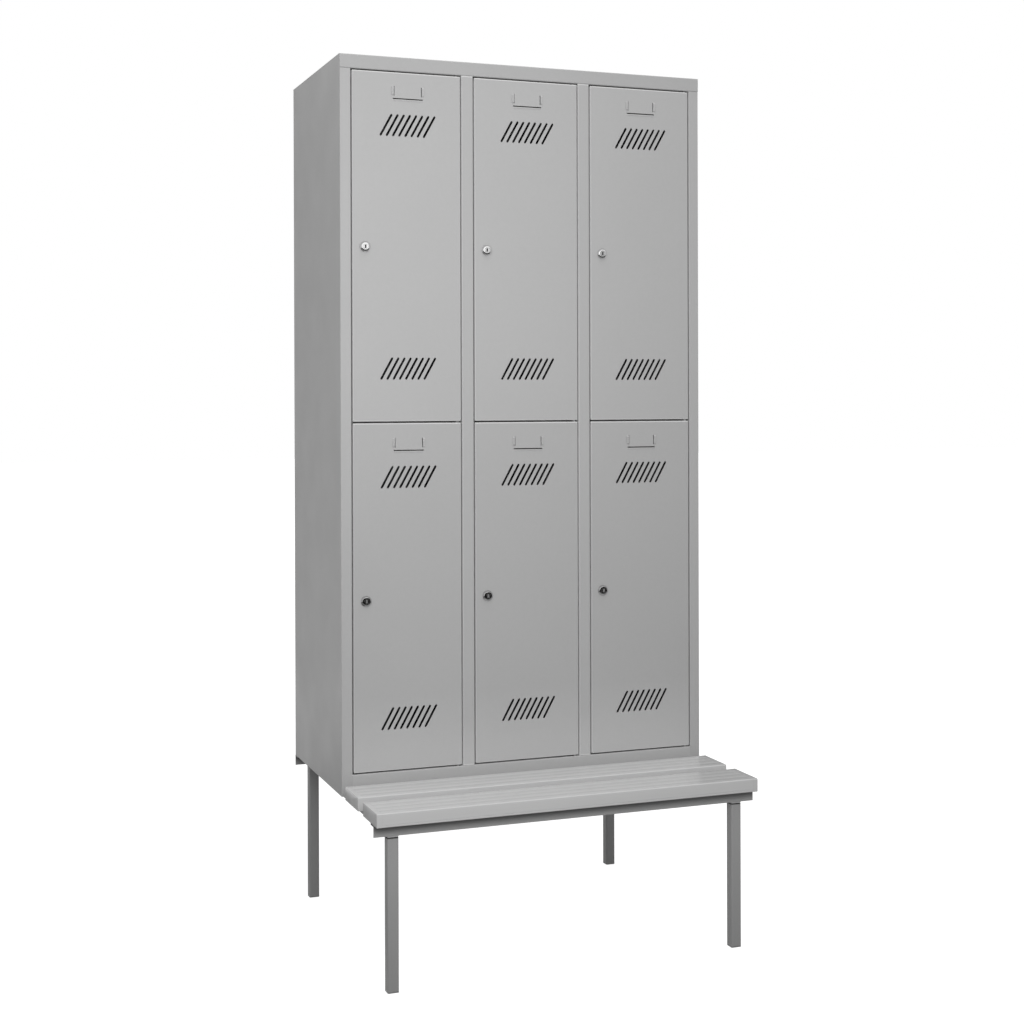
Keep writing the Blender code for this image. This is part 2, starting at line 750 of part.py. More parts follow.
def add_lug(shape, middle, along, size):
    """One pressed lug: a low bridge with sloped ends, sunk through half of the door's sheet."""
    x, z = middle
    length, width, rise = size
    root = -HINGE_SETBACK + SHEET / 2
    crest = -HINGE_SETBACK - rise
    half = length / 2
    section = ((-half, root), (half, root), (half, root - SHEET / 2), (half - LUG_RAMP, crest))
    section += ((LUG_RAMP - half, crest), (-half, root - SHEET / 2))
    across = Vector((along[1], 0, along[0])) * width
    run = Vector((along[0], 0, along[1]))
    start = Vector((x, 0, z)) - across / 2
    points = [start + run * distance + Vector((0, depth, 0)) for distance, depth in section]
    add_prism(shape, points, across)


def lock_x():
    """Lock axis from the door's hinge axis."""
    return HINGE_INSET - DOOR_WIDTH + LOCK_INSET


def lock_body_mesh():
    """The lock's rim, barrel and nut round its axis, bored for the plug. Distance 0 is the door's face."""
    bore = PLUG_RADIUS + PLUG_CLEARANCE
    end = CAM_FRONT - FRONT - SEAT - CAM_STOP_CLEARANCE / 2
    nut_front = SHEET + SEAT
    profile = (
        (bore, -LOCK_RISE),
        (LOCK_FACE_RADIUS, -LOCK_RISE),
        (LOCK_RIM_RADIUS, -LOCK_RIM_EDGE),
        (LOCK_RIM_RADIUS, -SEAT),
        (BARREL_RADIUS, -SEAT),
        (BARREL_RADIUS, nut_front),
        (NUT_RADIUS, nut_front),
        (NUT_RADIUS, nut_front + NUT_HEIGHT),
        (BARREL_RADIUS, nut_front + NUT_HEIGHT),
        (BARREL_RADIUS, end),
        (bore, end),
    )
    return turned("lock_body", profile, LOCK_SIDES, (0, 1, 0))


def lock_plug_mesh():
    """The turning plug with its keyway, and the cam on its rear end hanging down, unlocked."""
    cam_front = CAM_FRONT - FRONT
    cam_rear = cam_front + CAM_THICKNESS
    face = -LOCK_RISE - PLUG_PROUD
    length = (PLUG_RADIUS, face, cam_rear + CAM_THICKNESS)
    plug = turned("lock_plug", rod_profile([length]), LOCK_SIDES, (0, 1, 0))
    radius = CAM_WIDTH / 2
    tip = radius - CAM_LENGTH
    outline = arc((0, 0), radius, 0, math.pi, SLOT_END_STEPS)
    outline += arc((0, tip), radius, math.pi, 2 * math.pi, SLOT_END_STEPS)
    cam = extruded("cam", [(x, cam_front, z) for x, z in outline], (0, CAM_THICKNESS, 0))
    low = (-KEYWAY_WIDTH / 2, face - OVERRUN, -KEYWAY_HEIGHT / 2)
    high = (KEYWAY_WIDTH / 2, face + KEYWAY_DEPTH, KEYWAY_HEIGHT / 2)
    keyway = mesh_of("keyway", box_shape(low, high))
    mesh = cut_with(join_with(plug, cam), keyway)
    mesh.name = "lock_plug"
    smooth(mesh)
    return mesh


def doors(looks):
    """Six doors, each with its origin on its hinge axis, carrying a lock body and a turning plug."""
    body = lock_body_mesh()
    plug = lock_plug_mesh()
    tiers = (
        ("lower", LOWER_DOOR_FOOT, LOWER_DOOR_HEIGHT, LOWER_PATTERN_DROP, LOWER_LOCK_DROP),
        ("upper", UPPER_DOOR_FOOT, UPPER_DOOR_HEIGHT, 0, UPPER_LOCK_DROP),
    )
    for tier, foot, height, drop, lock_drop in tiers:
        lock_height = height / 2 - lock_drop
        leaf = door_mesh(height, drop, lock_height)
        for column, side in enumerate(COLUMN_NAMES):
            place = (hinge_x(column), HINGE_Y, foot)
            lock_place = (hinge_x(column) + lock_x(), FRONT, foot + lock_height)
            name = f"{tier}_{side}"
            door = add_object(f"{name}_door", leaf, looks["cabinet_paint"], place)
            add_object(f"{name}_lock_body", body, looks["chrome"], lock_place, door)
            add_object(f"{name}_lock_plug", plug, looks["chrome"], lock_place, door)


# Pivots


def pivots(looks):
    """The foot, middle and top pivot of each column's hinge axis."""
    foot_collar = (COLLAR_RADIUS, RAIL_TOP + SEAT, LOWER_DOOR_FOOT - SEAT)
    middle_collar = (COLLAR_RADIUS, SHELF_TOP + SEAT, UPPER_DOOR_FOOT - SEAT)
    head_foot = HEADER_FOOT + SHEET + SEAT
    top_head = (COLLAR_RADIUS, head_foot, head_foot + TOP_HEAD)
    top_pin = (PIN_RADIUS, UPPER_DOOR_TOP - PIN_REACH, head_foot)
    levels = (
        ("foot", collared_pin(foot_collar)),
        ("middle", collared_pin(middle_collar)),
        ("top", (top_pin, top_head)),
    )
    for level, steps in levels:
        for column, side in enumerate(COLUMN_NAMES):
            name = f"{side}_{level}_pivot"
            start = steps[0][1]
            placed = [(radius, low - start, high - start) for radius, low, high in steps]
            mesh = turned(name, rod_profile(placed), PIN_SIDES, (0, 0, 1))
            add_object(name, mesh, looks["zinc"], (hinge_x(column), HINGE_Y, start))


def collared_pin(collar):
    """A pin's three stretches, with its collar in the middle."""
    low, high = collar[1:]
    return (PIN_RADIUS, low - PIN_REACH, low), collar, (PIN_RADIUS, high, high + PIN_REACH)


# Bench base


def bar(name, outer_y, inward, looks):
    """An angle bar over the bench's length: one flange upright outside, one flat and pointing in."""
    top = BASE_HEIGHT
    inner = outer_y + inward * BAR_THICKNESS
    outline = (
        (outer_y, top),
        (outer_y, top - BAR_SIZE),
        (inner, top - BAR_SIZE),
        (inner, top - BAR_THICKNESS),
        (outer_y + inward * BAR_SIZE, top - BAR_THICKNESS),
        (outer_y + inward * BAR_SIZE, top),
    )
    points = [(-HALF_WIDTH, y, z) for y, z in outline]
    add_object(name, extruded(name, points, (CABINET_WIDTH, 0, 0)), looks["frame_paint"])


def legs(looks):
    """Four square tube legs, each with a collar at its top and a cap in its foot."""
    tube = leg_mesh()
    cap = foot_cap_mesh()
    for side, x in (("left", -LEG_X), ("right", LEG_X)):
        for end, y in (("front", FRONT_LEG_Y), ("back", BACK_LEG_Y)):
            add_object(f"{end}_{side}_leg", tube, looks["frame_paint"], (x, y, 0))
            add_object(f"{end}_{side}_foot_cap", cap, looks["foot_plastic"], (x, y, 0))


def leg_mesh():
    """A tube open at its foot, with a neck and a collar at its top that leave a joint line between them."""
    foot = FOOT_RIM + SEAT
    hollow = LEG_SIZE - 2 * LEG_WALL
    hollow_corner = LEG_CORNER - LEG_WALL
    rings = (
        square_ring(hollow, hollow_corner, LEG_TOP - LEG_WALL),
        square_ring(hollow, hollow_corner, foot),
        square_ring(LEG_SIZE, LEG_CORNER, foot),
        square_ring(LEG_SIZE, LEG_CORNER, LEG_TOP),
        square_ring(LEG_NECK_SIZE, LEG_CORNER, LEG_TOP),
        square_ring(LEG_NECK_SIZE, LEG_CORNER, COLLAR_FOOT),
        square_ring(LEG_SIZE, LEG_CORNER, COLLAR_FOOT),
        square_ring(LEG_SIZE, LEG_CORNER, CROSS_FOOT - SEAT),
    )
    return skinned("leg", rings)


def foot_cap_mesh():
    """The cap's rim under the tube and its plug inside the tube."""
    plug = LEG_SIZE - 2 * LEG_WALL - 2 * SEAT
    plug_corner = LEG_CORNER - LEG_WALL - SEAT
    rings = (
        square_ring(LEG_SIZE, LEG_CORNER, 0),
        square_ring(LEG_SIZE, LEG_CORNER, FOOT_RIM),
        square_ring(plug, plug_corner, FOOT_RIM),
        square_ring(plug, plug_corner, FOOT_RIM + FOOT_PLUG),
    )
    return skinned("foot_cap", rings)


def cross_bars(looks):
    """A tube as wide as the legs over each pair of them, notched at both ends under the angle bars."""
    half = LEG_SIZE / 2
    reach = half + OVERRUN
    start = BAR_FRONT + BAR_THICKNESS + SEAT
    end = BACK - BAR_THICKNESS - SEAT
    notch_foot = BASE_HEIGHT - BAR_THICKNESS - SEAT
    notch_start = BAR_FRONT + BAR_SIZE + SEAT
    notch_end = BACK - BAR_SIZE - SEAT
    over = BASE_HEIGHT + OVERRUN
    for side, middle in (("left", -LEG_X), ("right", LEG_X)):
        name = f"{side}_cross_bar"
        blocks = (
            ((middle - reach, start - OVERRUN, notch_foot), (middle + reach, notch_start, over)),
            ((middle - reach, notch_end, notch_foot), (middle + reach, end + OVERRUN, over)),
        )
        block = box_shape((middle - half, start, CROSS_FOOT), (middle + half, end, BASE_HEIGHT))
        solid = mesh_of(name, block)
        low = (middle - half + BAR_THICKNESS, start - OVERRUN, CROSS_FOOT + BAR_THICKNESS)
        high = (middle + half - BAR_THICKNESS, end + OVERRUN, BASE_HEIGHT - BAR_THICKNESS)
        mesh = notched(notched(solid, [(low, high)]), blocks)
        mesh.name = name
        add_object(name, mesh, looks["frame_paint"])


def slats(looks):
    """The two bench slats with rounded long edges."""
    for index, name in enumerate(("front_slat", "back_slat")):
        middle = BENCH_FRONT + SLAT_WIDTH / 2 + index * (SLAT_WIDTH + SLAT_GAP)
        height = BASE_HEIGHT + SEAT + SLAT_THICKNESS / 2
        outline = rounded_rectangle(SLAT_WIDTH, SLAT_THICKNESS, SLAT_EDGE, SLAT_EDGE_STEPS)
        points = [(-HALF_WIDTH, middle + y, height + z) for y, z in outline]
        mesh = extruded(name, points, (CABINET_WIDTH, 0, 0))
        smooth(mesh)
        add_object(name, mesh, looks["slat"])


def build():
    """Clears the scene and builds the whole locker."""
    for old in list(bpy.data.objects):
        bpy.data.objects.remove(old)
    looks = all_materials()
    left_side_panel(looks)
    right_side_panel(looks)
    top_panel(looks)
    bottom_panel(looks)
    back_panel(looks)
    middle_stiles(looks)
    partitions(looks)
    shelves(looks)
    hanger_rails(looks)
    doors(looks)
    pivots(looks)
    bar("front_bar", BAR_FRONT, 1, looks)
    bar("back_bar", BACK, -1, looks)
    legs(looks)
    cross_bars(looks)
    slats(looks)


build()
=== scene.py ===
"""Looks of the steel locker with a bench: paints, plated locks, bench boards, light and camera.

All lengths are in metres. The X axis runs to the right along the front, and the front faces -Y.
"""

import json
import math

import bmesh
import bpy
import numpy as np
from mathutils import Matrix, Vector


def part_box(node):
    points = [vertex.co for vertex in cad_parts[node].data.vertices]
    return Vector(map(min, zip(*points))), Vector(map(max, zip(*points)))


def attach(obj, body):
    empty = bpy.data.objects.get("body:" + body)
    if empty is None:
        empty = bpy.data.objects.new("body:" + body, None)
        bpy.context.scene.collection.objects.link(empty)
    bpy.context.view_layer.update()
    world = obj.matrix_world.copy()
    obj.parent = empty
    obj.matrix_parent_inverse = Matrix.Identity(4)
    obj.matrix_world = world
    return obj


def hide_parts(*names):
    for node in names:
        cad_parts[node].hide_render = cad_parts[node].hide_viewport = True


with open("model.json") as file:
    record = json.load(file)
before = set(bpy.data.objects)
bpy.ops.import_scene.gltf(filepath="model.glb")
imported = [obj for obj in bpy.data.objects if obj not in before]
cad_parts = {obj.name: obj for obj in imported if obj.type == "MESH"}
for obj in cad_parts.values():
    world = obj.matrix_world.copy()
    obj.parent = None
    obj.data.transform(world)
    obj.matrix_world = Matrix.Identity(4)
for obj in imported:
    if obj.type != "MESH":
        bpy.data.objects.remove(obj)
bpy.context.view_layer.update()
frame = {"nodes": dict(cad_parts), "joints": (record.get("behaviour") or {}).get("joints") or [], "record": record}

# Camera, as the photograph was taken
CAMERA_PLACE = (-1.3682, -3.6800, 1.2572)
CAMERA_YAW = -0.3549
CAMERA_PITCH = -0.0029
CAMERA_ROLL = -0.0029
CAMERA_LENS = 57.41
CAMERA_SHIFT = -0.10614

# Base colours, as linear grey
CABINET_GREY = 0.43
FRAME_GREY = 0.345
SLAT_GREY = 0.56
CHROME_GREY = 0.82
# The lower locks' chrome is a darker copy of the chrome: painted shade in its reflections
SHADED_CHROME_GREY = 0.55
ZINC_GREY = 0.60
# The top pivots' zinc is a darker copy of the zinc: painted shade
SHADED_ZINC_GREY = 0.30
KEYWAY_GREY = 0.17
# The upper keyways' moulding is a darker copy of the lower ones': painted shade
SHADED_KEYWAY_GREY = 0.07
FOOT_GREY = 0.20

# Tones of single nodes, as factors on their grey. They are painted light and shade, lit and shaded
# copies of the cabinet paint and the slat plastic: the upper doors, the rail and the back board
# painted lighter, the lower doors and the header painted darker
UPPER_DOOR_LIGHT = 1.02
LOWER_DOOR_SHADE = 0.98
RAIL_LIGHT = 1.08
HEADER_SHADE = 0.965
BACK_SLAT_LIGHT = 1.03

# Roughness and the height of each finish's bumps
PAINT_ROUGHNESS = 0.42
FRAME_ROUGHNESS = 0.40
SLAT_ROUGHNESS = 0.20
CHROME_ROUGHNESS = 0.05
ZINC_ROUGHNESS = 0.34
DULL_ZINC_ROUGHNESS = 0.5
KEYWAY_ROUGHNESS = 0.45
FOOT_ROUGHNESS = 0.50
PEEL_HEIGHT = 0.00006
DRAWN_HEIGHT = 0.00002
CHROME_GRAIN_HEIGHT = 0.0000005
ZINC_GRAIN_HEIGHT = 0.00001
MOULDED_GRAIN_HEIGHT = 0.00008

# Noise fields: features per metre, detail and, where a field is drawn out, the stretch of each axis
PAINT_BROAD = (2.5, 2.0)
PAINT_FINE = (140.0, 4.0)
PAINT_SCUFFS = (26.0, 5.0, (1.0, 1.0, 0.18))
PAINT_SHEEN = (9.0, 3.0)
PAINT_PEEL = (420.0, 2.0)
SLAT_LINES = (260.0, 3.0, (0.012, 1.0, 1.0))
SLAT_STREAKS = (38.0, 3.0, (0.04, 1.0, 1.0))
SLAT_RUBS = (16.0, 5.0, (0.35, 1.0, 1.0))
PLATED_PATCHES = (120.0, 4.0)
PLATED_GRAIN = (1500.0, 2.0)
MOULDED_DUST = (70.0, 5.0)
MOULDED_GRAIN = (900.0, 3.0)

# Ranges: two limits of a field, and the tones, shares or roughness that it takes there
BROAD_TONE = (0.3, 0.7, 0.985, 1.01)
FINE_TONE = (0.25, 0.75, -0.012, 0.012)
SCUFF_SHARE = (0.66, 0.78, 0.0, 1.0)
SCUFF_HEIGHT = (0.30, 0.75, 1.0, 0.12)
SHEEN_ROUGHNESS = (0.3, 0.7, -0.04, 0.05)
LINE_TONE = (0.3, 0.7, -0.01, 0.01)
STREAK_TONE = (0.3, 0.7, 0.975, 1.015)
STREAK_ROUGHNESS = (0.3, 0.7, -0.03, 0.03)
RUB_SHARE = (0.62, 0.76, 0.0, 1.0)
PATCH_LIMITS = (0.3, 0.7)
PATCH_TONES = (0.94, 1.0)
PATCH_ROUGHNESS = (0.7, 1.5)
DUST_LIMITS = (0.35, 0.75)
DUST_TONES = (0.9, 1.35)
DUST_ROUGHNESS = (0.3, 0.7, -0.06, 0.1)
SCUFF_TONE_LOSS = 0.035
SCUFF_ROUGHNESS_GAIN = 0.12
RUB_TONE_LOSS = 0.02
RUB_ROUGHNESS_GAIN = 0.08

# Tones by height, as ranges, and bands between two heights with a tone of their own: painted shade
# on the bars under the boards and in the joint under each leg's collar, a painted highlight on the
# collars, the legs darker towards their feet, and painted bounce light at the feet of the lower
# doors and the stiles
BAR_PAINTED_SHADE = (0.337, 0.3575, 1.0, 0.25)
LEG_FOOT_FADE = (0.02, 0.27, 0.84, 1.02)
LEG_JOINT = (0.3273, 0.3305)
LEG_JOINT_SHADE = 0.22
LEG_COLLAR = (0.3306, 0.3329)
LEG_COLLAR_HIGHLIGHT = 1.3
BAND_EDGE = 0.0002
DOOR_FOOT_LIGHT = (0.40, 0.58, 1.17, 1.0)
STILE_FOOT_LIGHT = (0.42, 0.52, 1.15, 1.0)

# Painted highlights along the edges of the doors and stiles: how wide, how much lighter, and the
# share of the width that is lightened in full. The flanks in the gaps get painted light
EDGE_WIDTH = 0.0032
EDGE_FULL_SHARE = 0.6
EDGE_HIGHLIGHT = {"side": 0.10, "top": 0.42, "foot": 0.30}
FLANK_WIDTH = 0.0004
FLANK_FULL_SHARE = 0.5
FLANK_TONE = 0.45

# Meshes
SHARP_ANGLE = 35.0
MERGE_DISTANCE = 1e-6
TINY = 1e-9

# Bench boards
SLAT_EDGE = 0.0025
SLAT_FOOT_EDGE = 0.0012
SLAT_EDGE_POINTS = 7
SLAT_END_ROUND = 0.0008
SLAT_END_POINTS = 4
SLAT_LIP = 0.0044
SLAT_LIP_WIDTH = 0.0007
SLAT_LIP_DEPTH = 0.0006
SLAT_CAP = 0.012
SLAT_CAP_PROUD = 0.0002
SLAT_SEAM = 0.0003
SLAT_SEAM_DEPTH = 0.0004
SLAT_GROOVES = 3
SLAT_GROOVE_WIDTH = 0.0005
SLAT_GROOVE_DEPTH = 0.00006
SLAT_GROOVE_SLOPE = 1.2
SLAT_GROOVE_SHARES = (-1.0, -0.25, 0.0, 0.25, 1.0)
SLAT_LIP_SHARES = (-1.0, 0.0, 1.0)

# Locks
LOCK_POINTS = 64
LOCK_FACE_RADIUS = 0.0094
LOCK_RIM_RADIUS = 0.0125
LOCK_RISE = 0.0045
LOCK_RIM_EDGE = 0.0022
LOCK_EDGE = 0.0003
LOCK_BARREL = 0.008
LOCK_NUT_FLAT = 0.0098
LOCK_NUT_FRONT = 0.0013
LOCK_NUT_HEIGHT = 0.005
LOCK_BODY_END = 0.0192
PLUG_RADIUS = 0.0055
PLUG_GAP = 0.0003
PLUG_PROUD = 0.0004
PLUG_EDGE = 0.0002
KEYWAY = (0.0021, 0.0039)
KEYWAY_DEPTH = 0.0015
KEYWAY_FLOOR_LIFTS = (0.0001, 0.0007)
KEYWAY_FLOOR_GAP = 0.00005
CAM_FRONT = 0.021
CAM_THICKNESS = 0.002
CAM_EDGE = 0.0003
CAM_RADIUS = 0.007
CAM_REACH = 0.029
CAM_SCREW = 0.004
CAM_SCREW_HEIGHT = 0.0012

# Weld beads at the ends of the bottom rail
WELD_OUTER = 0.4266
WELD_INNER = 0.4241
WELD_POINTS = 9
WELD_LIFT = -0.00005
WELD_DIP = 0.0003
WELD_DEPTH = 0.0016
WELD_END = 0.002
WELD_TOP = 0.4038

# Light
ROOM_LEVEL = 0.64
FLOOR_REACH = 30.0
FLOOR_GREY = 0.30
FLOOR_SEEN = 0.45
FLOOR_GLOW = 0.87
LAMP_SIZE = 1.2
CARD_LIFT = 0.004
CARD_FRONT = -6.0
CARD_BACK = 3.0


# Meshes


def skin(rings, capped=True):
    """Vertices, quads and ends of a surface through rings, an array of rows by points by 3.

    Point j of row i is joined to its neighbours in the row and in the next row, and end rows are
    closed flat where it is capped.
    """
    rows, points = rings.shape[:2]
    i, j = np.meshgrid(np.arange(rows - 1), np.arange(points), indexing="ij")
    near, far = i * points, (i + 1) * points
    following = (j + 1) % points
    quads = np.stack([near + j, near + following, far + following, far + j], -1)
    ring = np.arange(points)
    ends = [ring[::-1], ring + (rows - 1) * points] if capped else []
    return rings.reshape(-1, 3), quads.reshape(-1, 4), ends


def torus_skin(rings):
    """Like skin, but the last row joins the first, as on a turned piece with a bore."""
    return skin(np.concatenate([rings, rings[:1]]), capped=False)


def joined(skins):
    """Several skins as one vertex array and one face list, each shifted past those before it."""
    verts, faces, start = [], [], 0
    for skin_verts, quads, ends in skins:
        verts.append(skin_verts)
        faces += (quads + start).tolist() + [(end + start).tolist() for end in ends]
        start += len(skin_verts)
    return np.concatenate(verts), faces


def weld_and_turn(mesh):
    """Merges doubled points and points every closed shell's faces outwards."""
    shape = bmesh.new()
    shape.from_mesh(mesh)
    bmesh.ops.remove_doubles(shape, verts=shape.verts, dist=MERGE_DISTANCE)
    bmesh.ops.recalc_face_normals(shape, faces=shape.faces)
    shape.to_mesh(mesh)
    shape.free()


def add_piece(name, skins, finish, body, replaced=()):
    """One finished piece: its skins merged, rounds smooth, riding on its body."""
    verts, faces = joined(skins)
    mesh = bpy.data.meshes.new(name)
    mesh.from_pydata(verts.tolist(), [], faces)
    mesh.validate()
    weld_and_turn(mesh)
    mesh.shade_smooth()
    mesh.set_sharp_from_angle(angle=math.radians(SHARP_ANGLE))
    mesh.materials.append(finish)
    piece = bpy.data.objects.new(name, mesh)
    bpy.context.scene.collection.objects.link(piece)
    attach(piece, body)
    if replaced:
        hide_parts(*replaced)


# Bench boards


def slat_outline(width, height, inset, groove):
    """Points round a board's section: a rounded rectangle drawn in by an inset, with fine grooves.

    Each groove in the top is a dip of groove * min(1, slope * (1 - |y - middle| / half width)), at
    equal pitches. Each long side has a V, of depth * (1 - |z - level| / half width), near its
    foot, which leaves a lip under it, and the V's depth follows the groove's.
    """
    half, rise = width / 2 - inset, height / 2 - inset
    quarter = np.linspace(0, math.pi / 2, SLAT_EDGE_POINTS)
    corners = []
    for start, side, level in ((0, 1, 1), (1, -1, 1), (2, -1, -1), (3, 1, -1)):
        angle = quarter + start * math.pi / 2
        radius = (SLAT_EDGE if level > 0 else SLAT_FOOT_EDGE) - inset
        y = side * (half - radius) + radius * np.cos(angle)
        z = level * (rise - radius) + radius * np.sin(angle)
        corners.append(np.stack([y, z], -1))
    middles = (np.arange(SLAT_GROOVES) + 1) * width / (SLAT_GROOVES + 1) - width / 2
    shares = np.array(SLAT_GROOVE_SHARES)
    top_y = (middles[:, None] + SLAT_GROOVE_WIDTH * shares[None, :]).reshape(-1)[::-1]
    dip = np.clip(SLAT_GROOVE_SLOPE * (1 - np.abs(shares)), 0, 1)
    top = np.stack([top_y, rise - groove * np.tile(dip, SLAT_GROOVES)[::-1]], -1)
    shares = np.array(SLAT_LIP_SHARES)
    lip_z = SLAT_LIP - height / 2 + shares * SLAT_LIP_WIDTH
    lip_y = half - (1 - np.abs(shares)) * SLAT_LIP_DEPTH * groove / SLAT_GROOVE_DEPTH
    left = np.stack([-lip_y, lip_z], -1)[::-1]
    right = np.stack([lip_y, lip_z], -1)
    return np.concatenate([corners[0], top, corners[1], left, corners[2], corners[3], right])


def slat_skins(low, high):
    """A board carried along X through stations: capped ends, a seam, and the grooved board.

    The ends are rounded: at angle t the station is at round * (1 - cos t) from the end, and its
    outline is drawn in by round * (1 - sin t).
    """
    width, height = high[1] - low[1], high[2] - low[2]
    turn = np.linspace(0, math.pi / 2, SLAT_END_POINTS)
    end_x = SLAT_END_ROUND * (1 - np.cos(turn))
    end_inset = SLAT_END_ROUND * (1 - np.sin(turn))
    stations = [(x, inset, 0.0) for x, inset in zip(end_x, end_inset)]
    stations += [
        (SLAT_CAP - SLAT_SEAM, 0.0, 0.0),
        (SLAT_CAP - SLAT_SEAM, SLAT_SEAM_DEPTH, 0.0),
        (SLAT_CAP, SLAT_SEAM_DEPTH, 0.0),
        (SLAT_CAP, SLAT_CAP_PROUD, SLAT_GROOVE_DEPTH),
    ]
    length = high[0] - low[0]
    stations += [(length - x, inset, groove) for x, inset, groove in stations[::-1]]
    middle = np.array([(low[1] + high[1]) / 2, (low[2] + high[2]) / 2])
    rings = []
    for x, inset, groove in stations:
        outline = slat_outline(width, height, inset, groove) + middle
        rings.append(np.concatenate([np.full((len(outline), 1), low[0] + x), outline], 1))
    return [skin(np.array(rings))]


# Locks


def ring_angles():
    """Evenly spaced angles once round."""
    return np.arange(LOCK_POINTS) * 2 * math.pi / LOCK_POINTS


def round_lock(place, radius, depth):
    """Points round a lock's axis: x = radius * cos(angle), z = radius * sin(angle), y = depth."""
    angles = ring_angles()
    x = place[0] + radius * np.cos(angles)
    z = place[2] + radius * np.sin(angles)
    return np.stack([x, place[1] + depth, z], -1)


def turned_rings(profile, place, hexagon_rows=()):
    """Rings round the Y axis through a place, one for each radius and depth of the profile.

    In a hexagon's rows the given radius is that of the flats, so it is divided by the cosine of
    the angle folded to within 30 degrees of a flat's middle.
    """
    profile = np.asarray(profile, float)
    radius = np.repeat(profile[:, :1], LOCK_POINTS, 1)
    folded = ring_angles() % (math.pi / 3) - math.pi / 6
    rows = list(hexagon_rows)
    radius[rows] = radius[rows] / np.cos(folded)
    return round_lock(place, radius, np.repeat(profile[:, 1:], LOCK_POINTS, 1))


def lock_body_skins(place):
    """Rim, barrel and hexagon nut turned round the lock's axis, with a bore for the plug."""
    bore = PLUG_RADIUS + PLUG_GAP
    nut_rear = LOCK_NUT_FRONT + LOCK_NUT_HEIGHT
    profile = [
        (bore, -LOCK_RISE + LOCK_EDGE),
        (bore + LOCK_EDGE, -LOCK_RISE),
        (LOCK_FACE_RADIUS - LOCK_EDGE, -LOCK_RISE),
        (LOCK_FACE_RADIUS + LOCK_EDGE / 2, -LOCK_RISE + LOCK_EDGE / 2),
        (LOCK_RIM_RADIUS - LOCK_EDGE / 2, -LOCK_RIM_EDGE - LOCK_EDGE / 2),
        (LOCK_RIM_RADIUS, -LOCK_RIM_EDGE + LOCK_EDGE / 2),
        (LOCK_RIM_RADIUS, -LOCK_EDGE),
        (LOCK_BARREL, -LOCK_EDGE),
        (LOCK_BARREL, LOCK_NUT_FRONT),
        (LOCK_NUT_FLAT, LOCK_NUT_FRONT),
        (LOCK_NUT_FLAT, nut_rear),
        (LOCK_BARREL, nut_rear),
        (LOCK_BARREL, LOCK_BODY_END),
        (bore, LOCK_BODY_END),
    ]
    nut_rows = [row for row, point in enumerate(profile) if point[0] == LOCK_NUT_FLAT]
    return [torus_skin(turned_rings(profile, place, nut_rows))]


def keyway_ring(place, depth, grow):
    """Points round the keyway, a rectangle: at each angle the nearer of its side and its end.

    That is the smaller of side / |cos(angle)| and end / |sin(angle)|, both grown alike.
    """
    angles = ring_angles()
    side, end = KEYWAY[0] + grow, KEYWAY[1] + grow
    to_side = side / np.maximum(np.abs(np.cos(angles)), TINY)
    to_end = end / np.maximum(np.abs(np.sin(angles)), TINY)
    return round_lock(place, np.minimum(to_side, to_end), np.full(LOCK_POINTS, depth))


def cam_skin(place):
    """A plate with round ends: half circles round the axis and round the reach under it.

    In each half, x = radius * cos(angle) and z = radius * sin(angle), less the reach in the lower.
    """
    upper = np.linspace(0, math.pi, LOCK_POINTS // 2)
    lower = upper + math.pi
    rings = []
    for inset, depth in (
        (CAM_EDGE, 0),
        (0, CAM_EDGE),
        (0, CAM_THICKNESS - CAM_EDGE),
        (CAM_EDGE, CAM_THICKNESS),
    ):
        radius = CAM_RADIUS - inset
        x = np.concatenate([radius * np.cos(upper), radius * np.cos(lower)])
        z = np.concatenate([radius * np.sin(upper), radius * np.sin(lower) - CAM_REACH])
        y = np.full_like(x, CAM_FRONT + depth)
        rings.append(np.stack([x, y, z], -1) + np.array(place))
    return skin(np.array(rings))


def lock_plug_skins(place):
    """The plug with its keyway, the flat cam that hangs from its rear, and the cam's screw head."""
    face = -LOCK_RISE - PLUG_PROUD
    keyway = [
        keyway_ring(place, face + KEYWAY_DEPTH, 0),
        keyway_ring(place, face + PLUG_EDGE, 0),
        keyway_ring(place, face, PLUG_EDGE),
    ]
    profile = [
        (PLUG_RADIUS - PLUG_EDGE, face),
        (PLUG_RADIUS, face + PLUG_EDGE),
        (PLUG_RADIUS, CAM_FRONT),
    ]
    plug = skin(np.concatenate([np.array(keyway), turned_rings(profile, place)]))
    cam_rear = CAM_FRONT + CAM_THICKNESS
    head = cam_rear + CAM_SCREW_HEIGHT
    profile = [(CAM_SCREW, cam_rear), (CAM_SCREW, head - PLUG_EDGE), (CAM_SCREW - PLUG_EDGE, head)]
    return [plug, cam_skin(place), skin(turned_rings(profile, place))]


def keyway_floor_skins(place):
    """A thin block across the keyway, just over its floor, where the wards and pins show."""
    bottom = KEYWAY_DEPTH - LOCK_RISE - PLUG_PROUD
    rings = [keyway_ring(place, bottom - lift, -KEYWAY_FLOOR_GAP) for lift in KEYWAY_FLOOR_LIFTS]
    return [skin(np.array(rings))]


# Weld beads


def rail_welds(finishes):
    """Painted weld beads that fill the corner between the bottom rail's ends and the outer stiles.

    Each is a section carried up Z: y = face + lift + dip * sin(pi t)^2 over t from the stile to
    the rail, closed behind.
    """
    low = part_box("bottom_panel")[0]
    face = low[1]
    share = np.linspace(0, 1, WELD_POINTS)
    y = face + WELD_LIFT + WELD_DIP * np.sin(math.pi * share) ** 2
    rear = np.full_like(y, face + WELD_DEPTH)
    for side, way in (("left", -1), ("right", 1)):
        x = way * (WELD_OUTER + (WELD_INNER - WELD_OUTER) * share)
        section = np.stack([np.append(x, x[::-1]), np.append(y, rear)], -1)
        ends = (low[2] + WELD_END, WELD_TOP)
        rings = [np.column_stack([section, np.full(len(section), z)]) for z in ends]
        bead = [skin(np.array(rings))]
        add_piece(f"{side}_rail_weld", bead, finishes["cabinet_paint"], "cabinet")


# Surfaces


